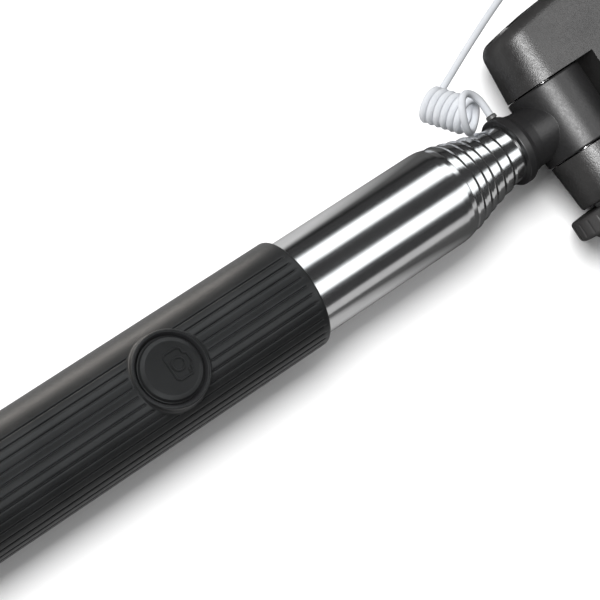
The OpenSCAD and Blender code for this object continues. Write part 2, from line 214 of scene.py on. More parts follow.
def add_soft_prism(bm, outline, low, high, edge, place=Matrix.Identity(4), steps=4, soft_low=True):
    """Like add_prism, with both rims rolled over by the radius edge. The outline runs anticlockwise."""
    points = fillet(outline)
    n = len(points)
    levels = []
    if soft_low:
        levels += [(low + edge * (1 - math.cos(a)), edge * (1 - math.sin(a)))
                   for a in [math.pi / 2 * s / steps for s in range(steps + 1)]]
    else:
        levels.append((low, 0))
    levels += [(high - edge * (1 - math.cos(a)), edge * (1 - math.sin(a)))
               for a in [math.pi / 2 * s / steps for s in range(steps, -1, -1)]]
    normals = []
    for j in range(n):
        a, b, c = points[j - 1], points[j], points[(j + 1) % n]
        along = ((b - a).normalized() + (c - b).normalized()).normalized()
        out = Vector((along.y, -along.x))
        flat = Vector(((b - a).normalized().y, -(b - a).normalized().x))
        normals.append(out / max(out.dot(flat), 0.5))
    rings = [[bm.verts.new(place @ Vector((*(points[j] - normals[j] * inset), z))) for j in range(n)]
             for z, inset in levels]
    for one, two in zip(rings, rings[1:]):
        skin(bm, one, two)
    bm.faces.new(rings[0][::-1])
    bm.faces.new(rings[-1])


def boolean(target, tools, operation="DIFFERENCE"):
    """Cuts tools out of target, or joins them to it, and leaves a plain, valid mesh."""
    for tool in tools:
        mod = target.modifiers.new("cut", "BOOLEAN")
        mod.operation = operation
        mod.solver = "EXACT"
        mod.object = tool
        bake(target)
        bpy.data.objects.remove(tool, do_unlink=True)
    clean(target)
    return target


def clean(obj):
    """Joins points that a cut left on top of each other, and drops faces with no area."""
    bm = bmesh.new()
    bm.from_mesh(obj.data)
    bmesh.ops.remove_doubles(bm, verts=bm.verts, dist=CUT_SLACK * MM)
    bmesh.ops.dissolve_degenerate(bm, edges=bm.edges, dist=CUT_SLACK * MM)
    bm.to_mesh(obj.data)
    bm.free()
    obj.data.validate()


def bake(obj, angle=None):
    """Applies the modifiers to the mesh."""
    graph = bpy.context.evaluated_depsgraph_get()
    mesh = bpy.data.meshes.new_from_object(obj.evaluated_get(graph))
    obj.modifiers.clear()
    obj.data = mesh
    if angle is not None:
        mesh.polygons.foreach_set("use_smooth", [True] * len(mesh.polygons))
        mesh.set_sharp_from_angle(angle=math.radians(angle))
    return obj


def bevel(obj, width, segments, angle, smooth=35.0):
    mod = obj.modifiers.new("edge", "BEVEL")
    mod.width = width * MM
    mod.segments = segments
    mod.limit_method = "ANGLE"
    mod.angle_limit = math.radians(angle)
    mod.use_clamp_overlap = True
    return bake(obj, smooth)


def box_tool(x0, x1, y0, y1, z0, z1):
    bm = bmesh.new()
    add_prism(bm, [(x0, y0), (x1, y0), (x1, y1), (x0, y1)], z0, z1)
    return finish_mesh("tool", bm)


def bar_tool(axis, centre, r, length, seg=64):
    return lathe("tool", [(0, 0), (r, 0), (r, length), (0, length)], axis, centre, seg)


def wires(name, paths, radius, resolution):
    """Round wires along lists of points, all in one object."""
    curve = bpy.data.curves.new(name, "CURVE")
    curve.dimensions = "3D"
    curve.bevel_depth = radius * MM
    curve.bevel_resolution = resolution
    curve.use_fill_caps = True
    for points in paths:
        spline = curve.splines.new("POLY")
        spline.points.add(len(points) - 1)
        for p, q in zip(spline.points, points):
            p.co = (*(Vector(q) * MM), 1)
        spline.use_smooth = True
    obj = bpy.data.objects.new(name, curve)
    bpy.context.scene.collection.objects.link(obj)
    return obj


def own(obj, body, slot, material, *nodes):
    """Gives a piece its material and its body, and hides the CAD nodes that it replaces. The slot is not
    used.
    """
    obj.data.materials.clear()
    obj.data.materials.append(material)
    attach(obj, body)
    if nodes:
        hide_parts(*nodes)
    return obj


def lean(obj):
    """Turns a part of the handle about the pole, so that the button lies a little towards +Y."""
    obj.data.transform(Matrix.Rotation(HANDLE_TURN, 4, "X"))
    return obj


# ---- materials ----
def new_material(name):
    mat = bpy.data.materials.new(name)
    mat.use_nodes = True
    tree = mat.node_tree
    shader = tree.nodes["Principled BSDF"]
    return mat, tree, shader


def noise(tree, scale, detail=3.0, stretch=(1, 1, 1), rough=0.5):
    """Noise in the object's own coordinates; scale counts features per millimetre."""
    coords = tree.nodes.new("ShaderNodeTexCoord")
    mapping = tree.nodes.new("ShaderNodeMapping")
    mapping.inputs["Scale"].default_value = [s * scale * 1000 for s in stretch]
    tex = tree.nodes.new("ShaderNodeTexNoise")
    tex.inputs["Scale"].default_value = 1.0
    tex.inputs["Detail"].default_value = detail
    tex.inputs["Roughness"].default_value = rough
    tree.links.new(coords.outputs["Object"], mapping.inputs["Vector"])
    tree.links.new(mapping.outputs["Vector"], tex.inputs["Vector"])
    return tex.outputs["Fac"]


def spread(tree, value, low, high, from_low=0.3, from_high=0.7):
    node = tree.nodes.new("ShaderNodeMapRange")
    node.inputs["From Min"].default_value = from_low
    node.inputs["From Max"].default_value = from_high
    node.inputs["To Min"].default_value = low
    node.inputs["To Max"].default_value = high
    tree.links.new(value, node.inputs["Value"])
    return node.outputs["Result"]


def two_tone(tree, value, one, two):
    node = tree.nodes.new("ShaderNodeMix")
    node.data_type = "RGBA"
    node.inputs["A"].default_value = (*one, 1)
    node.inputs["B"].default_value = (*two, 1)
    tree.links.new(spread(tree, value, 0, 1), node.inputs["Factor"])
    return node.outputs["Result"]


def bumps(tree, shader, layers, edge=0.0):
    """Adds bump layers of (value, depth in millimetres), over edges eased by the radius edge."""
    last = None
    if edge:
        ease = tree.nodes.new("ShaderNodeBevel")
        ease.samples = 6
        ease.inputs["Radius"].default_value = edge * MM
        last = ease.outputs["Normal"]
    for value, depth in layers:
        node = tree.nodes.new("ShaderNodeBump")
        node.inputs["Strength"].default_value = 1.0
        node.inputs["Distance"].default_value = depth * MM
        tree.links.new(value, node.inputs["Height"])
        if last is not None:
            tree.links.new(last, node.inputs["Normal"])
        last = node.outputs["Normal"]
    if last is not None:
        tree.links.new(last, shader.inputs["Normal"])


def plastic(name, one, two, rough_low, rough_high, grain=4.0, depth=0.006, edge=0.2, specular=0.5,
            mottle=0.12):
    """Two close colours in patches, uneven gloss, and a moulded grain of the given depth."""
    mat, tree, shader = new_material(name)
    tree.links.new(two_tone(tree, noise(tree, mottle), one, two), shader.inputs["Base Color"])
    rough = spread(tree, noise(tree, grain * 0.3), rough_low, rough_high)
    tree.links.new(rough, shader.inputs["Roughness"])
    shader.inputs["Specular IOR Level"].default_value = specular
    bumps(tree, shader, [(noise(tree, grain, 4.0), depth), (noise(tree, 0.08, 2.0), depth * 3)], edge)
    return mat


def metal(name, one, two, rough_low, rough_high, stretch=(0.02, 1, 1), grain=3.0, depth=0.001,
          edge=0.0):
    """Two close colours and fine marks, drawn out along the axis with the smallest stretch."""
    mat, tree, shader = new_material(name)
    shader.inputs["Metallic"].default_value = 1.0
    tree.links.new(two_tone(tree, noise(tree, 0.15), one, two), shader.inputs["Base Color"])
    rough = spread(tree, noise(tree, grain, 5.0, stretch), rough_low, rough_high)
    tree.links.new(rough, shader.inputs["Roughness"])
    bumps(tree, shader, [(noise(tree, grain, 5.0, stretch), depth)], edge)
    return mat


GRIP = plastic("grip rubber", (0.0075, 0.0078, 0.008), (0.0115, 0.0117, 0.012), 0.34, 0.44,
               grain=5.0, depth=0.010, edge=0.1, specular=0.34)
CAP = plastic("end cap plastic", (0.009, 0.009, 0.0095), (0.014, 0.014, 0.0145), 0.38, 0.5,
              grain=6.0, depth=0.008, edge=0.2, specular=0.4)
BUTTON = plastic("button rubber", (0.007, 0.0072, 0.0074), (0.010, 0.0102, 0.0104), 0.34, 0.44,
                 grain=6.0, depth=0.007, edge=0.1, specular=0.36)
CHROME = metal("chromed steel", (0.60, 0.60, 0.605), (0.66, 0.66, 0.66), 0.13, 0.19,
               stretch=(0.015, 1, 1), grain=2.5, depth=0.0006)
HEAD = plastic("head plastic", (0.005, 0.005, 0.0052), (0.008, 0.0078, 0.008), 0.36, 0.46,
               grain=5.0, depth=0.02, edge=0.12, specular=0.42)
CLAMP = plastic("clamp plastic", (0.010, 0.0097, 0.0097), (0.016, 0.0156, 0.0154), 0.30, 0.42,
                grain=3.4, depth=0.06, edge=0.12, specular=0.55)
KNOB = plastic("knob plastic", (0.020, 0.0195, 0.0195), (0.030, 0.029, 0.029), 0.3, 0.42,
               grain=4.0, depth=0.008, edge=0.3)
PAD = plastic("pad rubber", (0.012, 0.012, 0.012), (0.02, 0.02, 0.02), 0.55, 0.7,
              grain=6.0, depth=0.014, edge=0.1, specular=0.35)
PVC = plastic("white cord sheath", (0.58, 0.60, 0.63), (0.63, 0.645, 0.67), 0.28, 0.38,
              grain=4.0, depth=0.003, edge=0.0, specular=0.5, mottle=0.3)
BOOT = plastic("white plug moulding", (0.64, 0.66, 0.70), (0.70, 0.71, 0.74), 0.3, 0.42,
               grain=5.0, depth=0.004, edge=0.15)
GLAND = plastic("gland rubber", (0.02, 0.02, 0.02), (0.03, 0.03, 0.03), 0.4, 0.5,
                grain=6.0, depth=0.006, edge=0.1)
NYLON = plastic("slide nylon", (0.055, 0.055, 0.057), (0.075, 0.075, 0.077), 0.38, 0.5,
                grain=4.0, depth=0.006, edge=0.15)
BOARD = plastic("circuit board", (0.004, 0.022, 0.012), (0.006, 0.03, 0.016), 0.35, 0.5,
                grain=6.0, depth=0.006, edge=0.0, specular=0.5, mottle=0.9)
LEAD = plastic("lead insulation", (0.45, 0.02, 0.015), (0.55, 0.03, 0.02), 0.35, 0.45,
               grain=6.0, depth=0.003)
SPRING = metal("spring steel", (0.52, 0.52, 0.53), (0.62, 0.62, 0.62), 0.2, 0.34,
               stretch=(1, 1, 1), grain=3.0, depth=0.002)
FASTENER = metal("fastener steel", (0.50, 0.50, 0.51), (0.60, 0.60, 0.60), 0.24, 0.38,
                 stretch=(1, 1, 1), grain=3.0, depth=0.003, edge=0.1)
GOLD = metal("plug plating", (0.78, 0.62, 0.34), (0.85, 0.70, 0.42), 0.14, 0.24,
             stretch=(1, 1, 1), grain=2.0, depth=0.001, edge=0.06)

# ---- camera, in the CAD frame ----
CAMERA_AT = Vector((-62.06, -1.94, 411.68))
CAMERA_FORWARD = Vector((0.39031, 0, -0.92068))
CAMERA_RIGHT = Vector((0.76818, -0.55122, 0.32566))
CAMERA_LENS = 128.4
cam_data = bpy.data.cameras.new("camera")
cam_data.lens = CAMERA_LENS
cam_data.sensor_width = 36.0
cam_data.clip_start = 0.01
camera = bpy.data.objects.new("camera", cam_data)
bpy.context.scene.collection.objects.link(camera)
back = -CAMERA_FORWARD.normalized()
right = CAMERA_RIGHT.normalized()
up = back.cross(right).normalized()
right = up.cross(back).normalized()
turn = Matrix((right, up, back)).transposed().to_4x4()
camera.matrix_world = Matrix.Translation(CAMERA_AT * MM) @ turn
bpy.context.scene.camera = camera

# ---- cord: curly stretch, run over the floor, plug ----
CORD_R = 0.85
COIL_R = 3.55
COIL_TOP = Vector((171.9, 10.05, -1.2))
COIL_TILT = 37.6
COIL_TURN = 113.2
COIL_L = 12.7
COIL_PITCH = 2 * CORD_R + 0.02
LAST_TURN = 7.0
LEAD_TURN = 0.2
LEAD_STRAIGHT = 3 * CORD_R
LEAD_R = 4.5
PER_TURN = 22
RUN_Z = FLOOR_Z + CORD_R
RUN = [(174.5, 19.9, RUN_Z), (187, 25.3, RUN_Z), (200, 30.4, RUN_Z), (211, 33.8, RUN_Z), (222, 35, RUN_Z),
       (234, 35.4, RUN_Z + 0.5), (243, 35.4, RUN_Z + 1.9), (247, 35.4, RUN_Z + 2.35)]
GLAND_TIP = Vector((174.3, 9.0, 0.8))


def hermite(a, b, da, db, steps):
    """Points after a up to b, on a cubic with those end tangents."""
    out = []
    for s in range(1, steps + 1):
        t = s / steps
        out.append((2 * t**3 - 3 * t**2 + 1) * a + (t**3 - 2 * t**2 + t) * da
                   + (-2 * t**3 + 3 * t**2) * b + (t**3 - t**2) * db)
    return out


def coil_points():
    """Straight out of the gland, a first turn whose axis swings round to the coil's own, and the helix."""
    turned = (Matrix.Rotation(math.radians(COIL_TURN), 3, "Z")
              @ Matrix.Rotation(math.radians(COIL_TILT - 90), 3, "Y"))
    axis = turned @ Vector((0, 0, 1))
    low = COIL_TOP - axis * (COIL_L - CORD_R)
    e1 = (Vector((0, 0, -1)) + axis * axis.z).normalized()
    e2 = axis.cross(e1)

    def centre(turns):
        return low + axis * COIL_PITCH * (LAST_TURN - turns)

    def radial(turns):
        return math.cos(TAU * turns) * e1 + math.sin(TAU * turns) * e2

    points = [GLAND_TIP + Vector((0, LEAD_STRAIGHT * share, 0)) for share in (0, 0.5, 1)]
    square = Vector((axis.x, 0, axis.z)).normalized()
    aside = Vector((square.z, 0, -square.x))
    lead_centre = points[-1] - aside * LEAD_R
    for i in range(1, PER_TURN + 1):
        share = i / PER_TURN
        ease = share * share * (3 - 2 * share)
        normal = square.lerp(axis, ease).normalized()
        out = aside.lerp(radial(LEAD_TURN), ease)
        out = (out - normal * out.dot(normal)).normalized()
        reach = LEAD_R + (COIL_R - LEAD_R) * ease
        place = lead_centre.lerp(centre(LEAD_TURN + share), ease)
        a = TAU * share
        points.append(place + reach * (math.cos(a) * out + math.sin(a) * normal.cross(out)))
    count = round(PER_TURN * (LAST_TURN - LEAD_TURN - 1))
    for i in range(1, count + 1):
        turns = LEAD_TURN + 1 + (LAST_TURN - LEAD_TURN - 1) * i / count
        points.append(centre(turns) + COIL_R * radial(turns))
    return points


def cord_points():
    points = coil_points()
    leave = (points[-1] - points[-2]).normalized()
    run = [Vector(p) for p in RUN]
    points += hermite(points[-1], run[0], leave * 6, (run[1] - run[0]).normalized() * 6, 8)
    for i in range(len(run) - 1):
        before = run[max(i - 1, 0)]
        after = run[min(i + 2, len(run) - 1)]
        da = (run[i + 1] - before) / 2 if i else (run[1] - run[0])
        db = (after - run[i]) / 2
        points += hermite(run[i], run[i + 1], da, db, 4)
    return points


path = cord_points()
cord = wires("Signal_Cord", [path], CORD_R, 5)
own(cord, "head", "cord_pvc", PVC, "cord_coil", "cord_run")

PLUG_AT = (247, 35.4, -9.3)


def boot_ripple(r, z, a):
    """Shallow finger grooves round the thick part of the boot."""
    return r - (0.22 if 9 < z < 15.5 and r > 3 and round(z / 0.9) % 2 else 0)


boot = lathe("Plug_Boot", [(0, 0), (1.45, 0, 0.4), (1.7, 5, 1), (2.7, 6.4, 0.8), (3.2, 8, 1),
                           (3.2, 16.6, 0.5), (2.7, 17, 0.3), (0, 17)], "X", PLUG_AT, 64, boot_ripple)
own(boot, "head", "cord_pvc", BOOT, "plug_boot")

# ---- grip ----
SLEEVE_START = CAP_L + 0.02
GROOVE_END = 110.4
RING_EDGE = 0.35   # how far the hole in the sleeve stays inside the ring's outer edge
RING_SEG = 160
FOOT_R = 11.3      # the ring's foot ends at this distance from the pole's axis, in the sleeve's wall
FRAME_GAP = 0.01   # between the ring and the button's frame


def button_ring():
    """The raised ring that the button sits in, its foot inside the sleeve's wall all round."""
    bm = bmesh.new()
    inner = FRAME_R + FRAME_GAP
    outline = [(inner, RING_TOP - 0.1), (FRAME_R + 0.06, RING_TOP - 0.02),
               (RING_R - 0.42, RING_TOP), (RING_R - 0.22, RING_TOP - 0.04), (RING_R - 0.08, RING_TOP - 0.14),
               (RING_R, RING_TOP - 0.34)]
    circle = unit_circle(RING_SEG)
    walls = [[bm.verts.new((BUTTON_X + inner * c, inner * s, math.sqrt(FOOT_R**2 - (inner * s)**2)))
              for c, s in circle]]
    walls += [[bm.verts.new((BUTTON_X + r * c, r * s, z)) for c, s in circle] for r, z in outline]
    # the outside runs out into the sleeve's round surface: (past the ring, over the surface)
    for reach, lift in ((0.02, 0.5), (0.06, 0.3), (0.16, 0.12), (0.32, 0.02), (0.6, -0.06)):
        r = RING_R + reach
        ring = []
        for c, s in circle:
            base = math.sqrt(GRIP_R**2 - min(r * abs(s), GRIP_R)**2)
            ring.append(bm.verts.new((BUTTON_X + r * c, r * s, min(base + lift, RING_TOP - 0.32))))
        walls.append(ring)
    for one, two in zip(walls, walls[1:] + walls[:1]):
        skin(bm, one, two)
    return finish_mesh("tool", bm, 50)


def grip_sleeve():
    """The ribbed sleeve with its rolled rim and its bore, and the button's ring joined on."""
    bm = bmesh.new()
    # one groove: share of the pitch, share of the depth
    profile = [(-0.5, 0), (-0.32, 0), (-0.17, 0), (-0.125, 0.1), (-0.105, 0.5), (-0.08, 0.92), (-0.05, 1),
               (0.05, 1), (0.08, 0.92), (0.105, 0.5), (0.125, 0.1), (0.17, 0), (0.32, 0)]
    xs = [SLEEVE_START]
    xs += [CAP_L + 0.1, CAP_L + 0.3, CAP_L + 1.7, CAP_L + 2.0, CAP_L + 2.3, 12, 20, 30, 40, 50, 60, 64]
    xs += [66 + 0.25 * i for i in range(81)]
    xs += [87, 89, 93, 98, 104, 109, 109.6, 109.9, 110.2, 110.5, 111.2]
    # the rolled rim: place along the pole, drop below the surface
    rim = [(111.4, 0.0), (111.65, 0.07), (111.85, 0.22), (111.95, 0.42), (111.99, 0.65), (112.0, 1.2)]
    rings = []
    for x in xs + [x for x, _ in rim]:
        drop = dict(rim).get(x, 0.0)
        if x < CAP_L + 0.2:
            drop = 0.2 - (x - CAP_L)
        ring = []
        for i in range(GROOVES):
            for u, d in profile:
                a = TAU * (i + 0.5 + u) / GROOVES + math.pi / 2
                y, z = math.cos(a), math.sin(a)
                share = share_of((x - CAP_L - 1.7) / 0.6) * share_of((GROOVE_END - x) / 0.5)
                if z > 0:
                    away = math.hypot(x - BUTTON_X, y * GRIP_R)
                    share *= share_of((away - RING_R - RING_EDGE) / 0.5)
                if i in SMOOTH_STRIP:
                    share = 0
                r = GRIP_R - drop - GROOVE_DEPTH * d * share
                ring.append(bm.verts.new((x, r * y, r * z)))
        rings.append(ring)
    seg = 128
    bore = [[bm.verts.new((x, SLEEVE_BORE * c, SLEEVE_BORE * s)) for c, s in unit_circle(seg)]
            for x in (SLEEVE_START, HANDLE_L)]
    n = len(rings[0])
    for one, two in zip(rings, rings[1:]):
        skin(bm, one, two)
    for j in range(seg):
        k = (j + 1) % seg
        bm.faces.new((bore[0][j], bore[1][j], bore[1][k], bore[0][k]))
    for ring, inner in ((rings[0], bore[0]), (rings[-1], bore[1])):
        edges = [bm.edges.get((ring[j], ring[(j + 1) % n])) for j in range(n)]
        edges += [bm.edges.get((inner[j], inner[(j + 1) % seg])) for j in range(seg)]
        bmesh.ops.bridge_loops(bm, edges=[e for e in edges if e])
    sleeve = finish_mesh("Grip_Sleeve", bm, 50)
    boolean(sleeve, [bar_tool("Z", (BUTTON_X, 0, 0), RING_R - RING_EDGE, 14, RING_SEG)])
    boolean(sleeve, [button_ring()], "UNION")
    return bake(sleeve, 50)


own(lean(grip_sleeve()), "handle", "grip_rubber", GRIP, "grip_sleeve")

end_cap = lathe("End_Cap", [(0, 0.7), (7.0, 0.7, 1.5), (8.6, 0.0, 0.6), (10.3, 0.0, 1.4), (11.9, 0.9, 1.6),
                            (12.4, 3, 1.5), (12.4, 7.0), (10.7, 7.0), (10.7, 12.5), (0, 12.5)])
boolean(end_cap, [bar_tool("-Y", (3.9, 13, -7.5), 1.5, 26)])
bevel(end_cap, 0.25, 2, 60)
own(end_cap, "handle", "black_plastic", CAP, "end_cap")

# ---- button ----
button_frame = lathe("Button_Frame", [(WELL_R, BOARD_TOP), (WELL_R, RING_TOP - 0.95, 0.1),
                                      (FRAME_R - 0.12, RING_TOP - 0.02, 0.12), (FRAME_R, RING_TOP - 0.1),
                                      (FRAME_R, BOARD_TOP)],
                     "Z", (BUTTON_X, 0, 0), 128)
own(lean(button_frame), "handle", "black_plastic", CAP, "button_frame")

SKIRT_Z = 11.95
button_cap = lathe("Button_Cap", [(0, SKIRT_Z), (WELL_R - 0.08, SKIRT_Z), (WELL_R - 0.08, SKIRT_Z + 0.4),
                                  (CAP_R, SKIRT_Z + 0.5), (CAP_R, BUTTON_TOP - 0.85, 0.2),
                                  (CAP_R - 0.3, BUTTON_TOP - 0.42, 0.3),
                                  (CAP_R - 1.15, BUTTON_TOP - 0.06, 0.5), (CAP_R - 4, BUTTON_TOP),
                                  (0, BUTTON_TOP)],
                   "Z", (BUTTON_X, 0, 0), 128)
own(lean(button_cap), "button", "button_rubber", BUTTON, "button_cap")

# across a raised line: offset from its middle, height over the cap
LINE_SECTION = ((-0.22, -0.2), (-0.2, 0.16), (-0.12, 0.28), (0.12, 0.28), (0.2, 0.16), (0.22, -0.2))
LENS_R = 1.35


def glyph():
    """A plain picture of a camera in raised lines, its top towards the head."""
    bm = bmesh.new()
    lines = []
    w, h, cut, shift = 3.0, 2.0, 0.6, 1.5
    lines.append([(-w, -h + cut), (-w + cut, -h), (w - cut, -h), (w, -h + cut), (w, h - cut), (w - cut, h),
                  (1.5, h), (1.0, h + 0.7), (-1.0, h + 0.7), (-1.5, h), (-w + cut, h), (-w, h - cut)])
    lines.append([(LENS_R * c, LENS_R * s) for c, s in unit_circle(36)])
    lines.append([(2.05, 1.25), (2.6, 1.25), (2.6, 1.35), (2.05, 1.35)])
    for line in lines:
        ring = []
        n = len(line)
        for i, (px, py) in enumerate(line):
            before, here, after = Vector(line[i - 1]), Vector((px, py)), Vector(line[(i + 1) % n])
            along = ((here - before).normalized() + (after - here).normalized()).normalized()
            out = Vector((along.y, -along.x))
            section = []
            for off, lift in LINE_SECTION:
                q = here + out * off
                section.append(bm.verts.new((BUTTON_X + shift + q.y, -q.x, BUTTON_TOP + lift - 0.03)))
            ring.append(section)
        for i in range(n):
            skin(bm, ring[i], ring[(i + 1) % n])
    return finish_mesh("Button_Glyph", bm, 40)


own(lean(glyph()), "button", "button_rubber", BUTTON)

# ---- pole ----
def telescope(k, rear):
    """Tube k: its mouth rolls in to guide the next tube, and a groove marks where it leaves the last."""
    r = tube_r(k)
    mouth = MOUTHS[k]
    guide = tube_r(k + 1) + 0.05
    profile = [(r - TUBE_WALL, rear, 0.1), (r, rear, 0.1)]
    if k == 1:
        profile += [(r, mouth - 3.0, 2.5), (r - 0.14, mouth - 1.4, 1.5), (r - 0.42, mouth - 0.3, 0.4)]
    else:
        before = MOUTHS[k - 1]
        profile += [(r, before - 0.4, 0.3), (r - 0.22, before + 0.1, 0.4), (r, before + 0.75, 0.8),
                    (r, mouth - 0.85, 0.9), (r - 0.4, mouth - 0.12, 0.25)]
    profile += [(r - 0.5, mouth, 0.08), (guide, mouth, 0.05), (guide, mouth - 1.1, 0.1),
                (r - TUBE_WALL, mouth - 1.5)]
    return lathe(f"Pole_Tube_{k}", profile, "X", (0, 0, 0), 192, angle=50)


for k in range(1, 7):
    tube = telescope(k, CAP_L if k == 1 else 14 + 2 * (k - 2))
    if k == 1:
        boolean(tube, [box_tool(BUTTON_X - 7.5, BUTTON_X + 7.5, -6.9, 6.9, 0, 14)])
        bake(tube, 50)
        lean(tube)
    body, node = ("handle", "outer_tube") if k == 1 else (f"stage_{k}", f"tube_{k}")
    own(tube, body, "chrome_tube", CHROME, node)

last = lathe("Pole_Tube_7", [(LAST_BORE, 24, 0.1), (LAST_R, 24, 0.1), (LAST_R, MOUTHS[6] - 0.4, 0.3),
                             (6.68, MOUTHS[6] + 0.1, 0.4), (LAST_R, MOUTHS[6] + 0.75, 0.8),
                             (LAST_R, FLANGE_X + 0.4, 0.1), (LAST_BORE, FLANGE_X + 0.4, 0.1)],
             "X", (0, 0, 0), 192, angle=50)
own(last, "head", "chrome_tube", CHROME, "tube_7")

# ---- head ----
FLANGE_R = 8.1
NECK_R = 6.7
LEAD_HOLE_R = 2.9
GLAND_AT = (FLANGE_X + 1.5, 0, 0.8)
knuckle = lathe("Head_Knuckle", [(LEAD_HOLE_R, FLANGE_X - 8), (LAST_BORE, FLANGE_X - 8, 0.2),
                                 (LAST_BORE, FLANGE_X + 0.4), (LAST_R, FLANGE_X + 0.4), (LAST_R, FLANGE_X),
                                 (FLANGE_R, FLANGE_X, 0.3), (FLANGE_R, FLANGE_X + 1.9, 0.8),
                                 (7.2, FLANGE_X + 3.2, 0.6), (NECK_R, FLANGE_X + 5.6, 2.5),
                                 (NECK_R, HINGE_X - 3), (0, HINGE_X - 3), (0, FLANGE_X + 7),
                                 (LEAD_HOLE_R, FLANGE_X + 7)],
                "X", (0, 0, 0), 128)
barrel = lathe("tool", [(0, -BARREL_HALF), (BARREL_R, -BARREL_HALF, 0.5), (BARREL_R, BARREL_HALF, 0.5),
                        (0, BARREL_HALF)], "Y", (HINGE_X, 0, 0), 128)
boolean(knuckle, [barrel], "UNION")
boolean(knuckle, [bar_tool("Y", (HINGE_X, -20, 0), BOLT_R + 0.05, 40),
                  bar_tool("Y", GLAND_AT, 0.95, 9.2, 32)])
bake(knuckle, 30)
own(knuckle, "head", "head_plastic", HEAD, "head_knuckle")

gland = lathe("Cord_Gland", [(0.86, 2.9), (0.95, 2.9), (0.95, 7.9, 0.05), (1.25, 8.0, 0.1), (1.2, 8.7, 0.2),
                             (0.86, 9.0, 0.05)], "Y", GLAND_AT, 48)
own(gland, "head", "head_plastic", GLAND, "cord_gland")

# ---- knob ----
KNOB_Y = EAR_LOW - 1
KNOB_R = 12


def knob_ripple(r, z, a):
    """Grip flutes round the knob's rim."""
    if r < KNOB_R - 1 or not 0.9 < z < 4.2:
        return r
    return r - 0.22 * max(0.0, math.cos(24 * a)) ** 8


knob = lathe("Thumb_Knob", [(BOLT_R, 4), (BOLT_R, 0), (KNOB_R, 0, 0.8), (KNOB_R, 1.0), (KNOB_R, 1.8),
                            (KNOB_R, 2.6), (KNOB_R, 3.4), (KNOB_R, 4.9, 1.2), (8.6, 5.2, 0.8),
                            (7.6, 6.7, 1.0), (5.4, 6.8, 0.4), (4.9, 6.2, 0.4), (0, 6.2), (0, 4)],
             "-Y", (HINGE_X, KNOB_Y, 0), 288, knob_ripple)
own(knob, "knob", "knob_plastic", KNOB, "thumb_knob")

# ---- clamp ----
def interp(points, u):
    """Reads a value at u off straight lines between (place, value) points."""
    if u <= points[0][0]:
        return points[0][1]
    for (a, va), (b, vb) in zip(points, points[1:]):
        if u <= b:
            t = (u - a) / (b - a)
            return va + (vb - va) * t
    return points[-1][1]


def ear_side(u):
    """How far the +Y side stands out, along the clamp."""
    points = [(-9.2, 21.6), (-6, 22.4), (0, 23.4), (9, 24.7), (18, 25.5), (24, 25.6)]
    return interp(points, u)


def low_side(u):
    """How far the -Y side stands out, along the clamp."""
    points = [(-9.2, 20.2), (12.4, 20.2), (15, 23.4), (18, 25.1), (24, 25.6)]
    return interp(points, u)


def clamp_block():
    """The two ears and the cross block in one, as sections across Y."""
    bm = bmesh.new()
    corner_high, corner_low = 3.0, 0.5
    draft_low, draft_high = (math.tan(math.radians(degrees)) for degrees in (4.4, 5.5))
    rings = []
    # each level: place across from -1 to 1, how far its outline draws in, how far it stands out
    levels = []
    for s in range(5):
        a = math.pi / 2 * s / 4
        levels.append((-1, corner_low * (1 - math.sin(a)), corner_low * math.cos(a)))
    for s in range(1, 24):
        levels.append((-1 + 2 * s / 24, 0, 0))
    for s in range(11):
        a = math.pi / 2 * (1 - s / 10)
        levels.append((1, corner_high * (1 - math.sin(a)), corner_high * math.cos(a)))
    for t, inset, step in levels:
        ring = []
        ear = max(0.0, abs(t) * SIDE_Y - SLOT_HALF)
        draft = (draft_low if t < 0 else draft_high) * ear * 0.75
        draft += 0.35 * share_of((SLOT_HALF - t * SIDE_Y) / (2 * SLOT_HALF))
        r = BARREL_R - draft * 0.55 - inset
        outline = []
        for s in range(33):
            a = math.pi / 2 + math.pi * s / 32
            outline.append(((BARREL_R - inset - draft) * math.cos(a), r * math.sin(a)))
        # along the underside to the front face and back over the top
        for u in (4, 8, 12, 16, 20, BLOCK_U - 0.8):
            outline.append((u, -r))
        outline += [(BLOCK_U - 0.25, -r + 0.2), (BLOCK_U, -r + 0.8), (BLOCK_U, 0), (BLOCK_U, r - 0.8),
                    (BLOCK_U - 0.25, r - 0.2)]
        for u in (BLOCK_U - 0.8, 20, 16, 12, 8, 4):
            outline.append((u, r))
        for u, z in outline:
            if t > 0:
                y = t * (ear_side(u) - corner_high) + step
            else:
                y = t * (low_side(u) - corner_low) - step
            ring.append(bm.verts.new((HINGE_X + u, y, z)))
        rings.append(ring)
    for one, two in zip(rings, rings[1:]):
        skin(bm, one, two)
    bm.faces.new(rings[0])
    bm.faces.new(rings[-1])
    return finish_mesh("Clamp_Base", bm, 35)


def rect(x0, x1, y0, y1, r=0.0):
    return [(x0, y0, r), (x1, y0, r), (x1, y1, r), (x0, y1, r)]


PLATE_TOP = -6.0
COVER_T = 1.6
PLATE_U0, PLATE_U1 = 13.0, 81.7
PLATE_Y = 22.0
PLATE = rect(HINGE_X + PLATE_U0, HINGE_X + PLATE_U1, -PLATE_Y, PLATE_Y, 2.0)
CAVITY_TOP = -7.5
LIP_LOW = BARREL_R - 2.0
NUT_FLATS = 8


